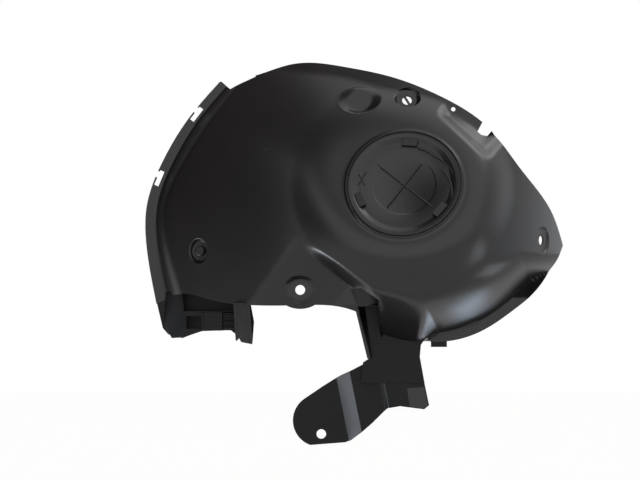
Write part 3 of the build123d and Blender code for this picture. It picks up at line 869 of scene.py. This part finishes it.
lean = FOOT_FOLD_LEAN * (FOOT_TOP_Z - FOLD_Z)
fold = [(-50, FOOT_H), (26.5, FOOT_H), (46, FOOT_MID_H), (80, FOOT_MID_H)]
fold += [(86, ARM_H), (104, ARM_H), (150, FOOT_END_H)]
near = np.array([(x - lean, LIP_Y - h, FOOT_TOP_Z) for x, h in fold])
strip = np.vstack([near, near[::-1] + np.array([0, SKIN, 0])])
foot = new_object("arm_foot", *prism(strip, FOOT_LENGTH * unit((FOOT_FOLD_LEAN, 0, -1))))
round_edges(foot, FOLD_ROUND, segments=4, angle=20)
settle(foot)
foot_outline = [(54, 89.9), (26, 75.4), (1, 59.7)]
foot_outline += arc_through((-21.8, 44.2), (-35.5, 12), (-14, -13.9))
foot_outline += [(30, -10.5), (37, -8), (63.6, 15.2), (83.4, 34.8), (98.4, 37.3), (128.6, 33.1)]
foot_outline += [(134.9, 38.1), (129, 66.2), (54, 66.2)]
cut(foot, [through(foot_outline)], "INTERSECT")
cut(foot, [rod(facing(0, 0, FOOT_H), SCREW_R, -FOOT_HOLE_CUT, FOOT_HOLE_CUT)])
round_edges(foot, FOOT_EDGE, segments=2, angle=60)
dress(foot, arm_plastic, "liner", smooth_angle=30)

# %% [markdown]
# The neck of the arm is a flat plate with upright webs, and a slanting facet closes it at the top.
# An upright strip stands along its left edge.
# Flat plates need only an outline and a plane, so every one of them is a prism.
# A smooth pad lies on the right lobe of the foot, in the plane of the last fold.

# %% Neck of the arm
EDGE_WIDE = 4.0
NECK_SINK, WEB_DROP, FACET_WALL = 0.6, 11.0, 48.0
FACET_TOP, FACET_DROP, FACET_THICK = (48.0, 188.0), 40.5, 3.5
FACET_RISE_X, FACET_RISE_Z = -0.25, 0.646
LOBE_LEVEL, LOBE_RISE_X, LOBE_RISE_Z, LOBE_THICK = 91.9, -0.1957, -0.0391, 1.5
facet_level = bulge_at(*FACET_TOP) - FACET_DROP
facet_level -= FACET_RISE_X * FACET_TOP[0] + FACET_RISE_Z * FACET_TOP[1]


def plate(outline, level, rise_x=0.0, rise_z=0.0, thick=SKIN):
    """A flat plate with an outline of x and z, whose height is level + rise_x * x + rise_z * z."""
    x, z = np.array(outline, float).T
    loop = np.column_stack([x, LIP_Y - (level + rise_x * x + rise_z * z), z])
    return prism(loop, (0, thick, 0))


def web(corners, thick=SKIN):
    """An upright plate across X, with corners of x, z and height."""
    x, z, h = np.array(corners, float).T
    return prism(np.column_stack([x, LIP_Y - h, z]), (thick, 0, 0))


def block(x0, x1, z0, z1, h0, h1):
    """A box between two values of x, of z and of height."""
    return plate([(x0, z0), (x1, z0), (x1, z1), (x0, z1)], h1, thick=h1 - h0)


def facet_height(x, z):
    return facet_level + FACET_RISE_X * x + FACET_RISE_Z * z


neck_outline = [(50, 166), (60, 97), (52, 92), (50, 66), (129, 66), (123, 99), (124.4, 114), (130, 122)]
neck_outline += [(142, 124), (142, 130), (74, 132), (70, 166)]
skin_corner = bulge_at(69.0, 172.0) - WEB_DROP
facet_low = facet_height(71, 172) - 1
facet_high = facet_low + FACET_WALL
neck = [
    block(50, 88, 66.3, 68.5, FOOT_MID_H - SKIN, ARM_H - NECK_SINK),
    plate(neck_outline, ARM_H),
    block(51.5, 53.5, 67, 89, FOOT_MID_H - 1, ARM_H - NECK_SINK),
    web([(69, 172, ARM_H - 2), (74, 124, ARM_H - 2), (74, 124, ARM_H), (69, 172, skin_corner)]),
    block(44, 71, 162.5, 165, ARM_H - SKIN, facet_height(57, 164)),
    web([(46, 188, facet_low + 12), (71, 172, facet_low), (71, 172, facet_high), (46, 188, facet_high)]),
]
small_piece("arm_neck", neck, arm_plastic, "liner", edge=0.5)
facet_outline = [(36, 185), FACET_TOP, (71, 173), (70, 164), (43, 162.5), (37, 173)]
facet = plate(facet_outline, facet_level, FACET_RISE_X, FACET_RISE_Z, FACET_THICK)
small_piece("arm_facet", [facet], liner_plastic, "liner", edge=0.5)
edge_corners = [(50, 166, ARM_H), (60, 97, ARM_H), (57, 97, ARM_H + 8.4), (40, 166, ARM_H + 28)]
small_piece("arm_edge", [web(edge_corners, EDGE_WIDE)], liner_plastic, "liner", edge=0.8)
lobe_outline = [(107, 60), (128.5, 61), (133.5, 38.5), (128.2, 34.2), (110, 36.5)]
lobe = plate(lobe_outline, LOBE_LEVEL, LOBE_RISE_X, LOBE_RISE_Z, LOBE_THICK)
small_piece("arm_lobe", [lobe], liner_plastic, "liner", edge=0.3)

# %% [markdown]
# The bracket at the foot of the fender lip is a box of thin plates.
# It has a slanting cheek under the lip, a front face with a window, three fins, a gusset and a leg.
# A small tab hangs from the lower rear flange.

# %% Bracket
BOX_H, BASE_LEVEL, BRACKET_EDGE = 45.0, -0.5, 0.6
FIN_LOWS, FIN_THICK = (133.5, 141, 148.5), 2
base = [(-211, 166), (-203, 132), (-196, 124), (-178, 119), (-150, 130), (-118, 131), (-101, 117)]
base += [(-88, 113), (-86, 140), (-92, 172), (-150, 190), (-207, 190)]
cheek = [(-199, 178), (-176, 178), (-172, 150), (-173, 122), (-190, 120), (-201, 135)]
leg = [(-108, 168), (-89, 168), (-87, 113), (-101, 116), (-108, 131)]
bracket = [
    plate(base, BASE_LEVEL, thick=SKIN + BASE_LEVEL),
    plate(cheek, 301.0, rise_x=1.48, thick=4.5),
    block(-175, -105, 152.5, 155, -SKIN, BOX_H),
    block(-147, -124, 131, 154, 42, 55),
    plate(leg, -124.0, rise_z=1.44, thick=4.0),
    web([(-108, 168, -2), (-108, 118, -2), (-108, 118, BOX_H), (-108, 168, 116)]),
]
bracket += [block(-122, -106, z, z + FIN_THICK, 42, 58) for z in FIN_LOWS]
small_piece("bracket_box", bracket, arm_plastic, "liner", edge=BRACKET_EDGE)
face_outline = [(-174, 153), (-106, 156), (-106, 131), (-120, 131), (-150, 130), (-174, 122)]
bracket_face = new_object("bracket_face", *plate(face_outline, BOX_H))
cut(bracket_face, [through([(-170, 133), (-151, 133), (-151, 149), (-170, 149)])])
round_edges(bracket_face, BRACKET_EDGE)
dress(bracket_face, arm_plastic, "liner")
tab = block(137.6, 157.7, 110.5, 121, 52.5, 54.5)
small_piece("flange_tab", [tab], arm_plastic, "liner", edge=0.5)

# %% [markdown]
# The camera stands level in front of the bulged side, as in the photograph.
# The picture is 640 pixels wide, and one pixel is 1.28 mm in the plane of the fender lip.

# %% Camera
CAMERA_AWAY, CAMERA_X, CAMERA_Z = 2800.0, -1.64, 244.8
PICTURE_WIDE, PIXEL = 640, 1.28
camera_data = bpy.data.cameras.new("camera")
camera_data.sensor_fit = "HORIZONTAL"
camera_data.lens = camera_data.sensor_width * CAMERA_AWAY / (PICTURE_WIDE * PIXEL)
camera = bpy.data.objects.new("camera", camera_data)
camera.location = (CAMERA_X * MM, (LIP_Y - CAMERA_AWAY) * MM, CAMERA_Z * MM)
camera.rotation_euler = (math.pi / 2, 0, 0)
bpy.context.scene.collection.objects.link(camera)
bpy.context.scene.camera = camera
print("lens", round(camera_data.lens, 2))

# %% [markdown]
# Black plastic shows little of its own colour, so its picture is made of what it mirrors.
# The surroundings are a white studio with a dark wall and ceiling at the left.
# The space behind the part on the left is dark too, and the right side is a little dimmer.
# The camera sees the sheet behind the part as plain white.

# %% Studio light
STUDIO_LEVEL = 1.3
WALL_LEAN, WALL_RAMP = 0.25, (0.78, 0.87)
CEILING_RAMP, CEILING_LEFT_RAMP = (0.60, 0.70), (0.16, 0.28)
LEFT_DARK = 0.88
BEHIND_WAY, BEHIND_RAMP, BEHIND_LEVEL = (-0.6, 0.8), (0.4, 0.8), 0.1
RIGHT_RAMP, RIGHT_LEVEL = (0.5, 0.95), 0.7
TINT_RAMP, TINT_LOW, TINT_HIGH = (-0.6, 0.6), (0.92, 0.97, 1.06, 1), (1.01, 1.0, 0.99, 1)
WHITE = (1, 1, 1, 1)
bpy.context.scene.view_settings.view_transform = "Standard"
world = bpy.data.worlds.new("studio")
world.use_nodes = True
bpy.context.scene.world = world
tree = world.node_tree
start = Signal(tree)
seen = start.node("ShaderNodeLightPath", output="Is Camera Ray")
towards = start.node("ShaderNodeTexCoord", output="Generated")
axes = start.node("ShaderNodeSeparateXYZ", inputs={0: towards})
x_way, y_way, z_way = (Signal(tree, axes.socket.node.outputs[i]) for i in range(3))
left_wall = (z_way * WALL_LEAN - x_way).ramp(*WALL_RAMP)
left_ceiling = z_way.ramp(*CEILING_RAMP) * (x_way * -1).ramp(*CEILING_LEFT_RAMP)
upper_left = 1 - LEFT_DARK * (left_wall + left_ceiling - left_wall * left_ceiling)
behind_left = (x_way * BEHIND_WAY[0] + y_way * BEHIND_WAY[1]).ramp(*BEHIND_RAMP, 1.0, BEHIND_LEVEL)
right_side = x_way.ramp(*RIGHT_RAMP, 1.0, RIGHT_LEVEL)
level = upper_left * behind_left * right_side * STUDIO_LEVEL
start.feed(tree.nodes["Background"].inputs["Strength"], seen + (1 - seen) * level)
tint = z_way.ramp(*TINT_RAMP).mix(TINT_LOW, TINT_HIGH)
start.feed(tree.nodes["Background"].inputs["Color"], seen.mix(tint, WHITE))
print("studio level", STUDIO_LEVEL)

# %% [markdown]
# Four softboxes stand outside the picture, each where one part of the liner mirrors it.
# The low one lies behind the part and lights the roll, the right one the lower right of the bulge, the side
# one the fold of the foot, and the high one the shoulder.
# Each row gives a place, a target, a size, a power and a tint, in metres and watts.

# %% Softboxes
SOFTBOXES = {
    "low_softbox": ((0.40, 0.40, -0.22), (0.165, -0.04, 0.165), (0.18, 0.12), 0.18, (0.66, 0.8, 1.0)),
    "right_softbox": ((0.866, -0.13, -0.152), (0.206, -0.1, 0.208), (0.4, 0.3), 0.7, (0.9, 0.95, 1.0)),
    "side_softbox": ((-0.66, 0.045, -0.165), (0.03, 0.0, 0.03), (0.3, 0.28), 2.8, (0.86, 0.92, 1.0)),
    "high_softbox": ((0.7, 0.0, 1.25), (0.15, 0.0, 0.4), (0.6, 0.4), 1.9, (1.0, 1.0, 1.0)),
}


def add_softbox(name, place, target, size, power, tint):
    """An area light at a place, turned towards a target."""
    light = bpy.data.lights.new(name, "AREA")
    light.shape = "RECTANGLE"
    light.size, light.size_y = size
    light.energy = power
    light.color = tint
    box = bpy.data.objects.new(name, light)
    box.location = place
    aim = unit(np.array(target) - np.array(place))
    box.rotation_euler = (math.acos(-aim[2]), 0, math.atan2(aim[1], aim[0]) - math.pi / 2)
    bpy.context.scene.collection.objects.link(box)
    print(name, "at", place)


for name, settings in SOFTBOXES.items():
    add_softbox(name, *settings)

# %% [markdown]
# A pale floor lies well below the part, because the part hangs from its screws.
# Its colour is painted light: paler in front of the part and darker behind it, so the lower walls mirror a
# painted pool of light in front and painted shade behind.
# For the camera it glows a little, so that it meets the white sheet and still keeps a soft shadow.

# %% Floor
FLOOR_DROP = 0.35
FLOOR_HALF = 6.0
FLOOR_GLOW, FLOOR_SEEN = 0.6, (0.45, 0.45, 0.45, 1)
FLOOR_FRONT_Y, FLOOR_BACK_Y, FLOOR_PAINTED_LIGHT, FLOOR_PAINTED_SHADE = -0.8, 0.0, 0.95, 0.62
FLOOR_ROUGH = 0.9
floor_corners = np.array([(-1, -1, 0), (1, -1, 0), (1, 1, 0), (-1, 1, 0)], float) * FLOOR_HALF
floor_corners[:, 2] = cad_low[2] - FLOOR_DROP
floor = new_object("floor", floor_corners / MM, [(0, 1, 2, 3)], solid=False)
floor_paint, tree, surface = new_material("floor_paint")
surface.inputs["Roughness"].default_value = FLOOR_ROUGH
start = Signal(tree)
spot = start.node("ShaderNodeTexCoord", output="Object")
depth = start.node("ShaderNodeSeparateXYZ", inputs={0: spot}, output="Y")
# Painted light: the floor's colour is paler in front of the part and darker behind it, as if light fell in
# front.
tone = depth.ramp(FLOOR_FRONT_Y, FLOOR_BACK_Y, FLOOR_PAINTED_LIGHT, FLOOR_PAINTED_SHADE)
start.feed(surface.inputs["Base Color"], tone)
path = start.node("ShaderNodeLightPath", output="Is Camera Ray")
paint = start.node("ShaderNodeBsdfDiffuse", inputs={"Color": FLOOR_SEEN})
glow = start.node("ShaderNodeEmission", inputs={"Color": WHITE, "Strength": FLOOR_GLOW})
pale = start.node("ShaderNodeAddShader", inputs={0: paint, 1: glow})
mirrored = Signal(tree, surface.outputs[0])
shown = start.node("ShaderNodeMixShader", inputs={0: path, 1: mirrored, 2: pale})
start.feed(tree.nodes["Material Output"].inputs["Surface"], shown)
floor.data.materials.append(floor_paint)
print("floor at", round(float(floor_corners[0, 2]), 3))
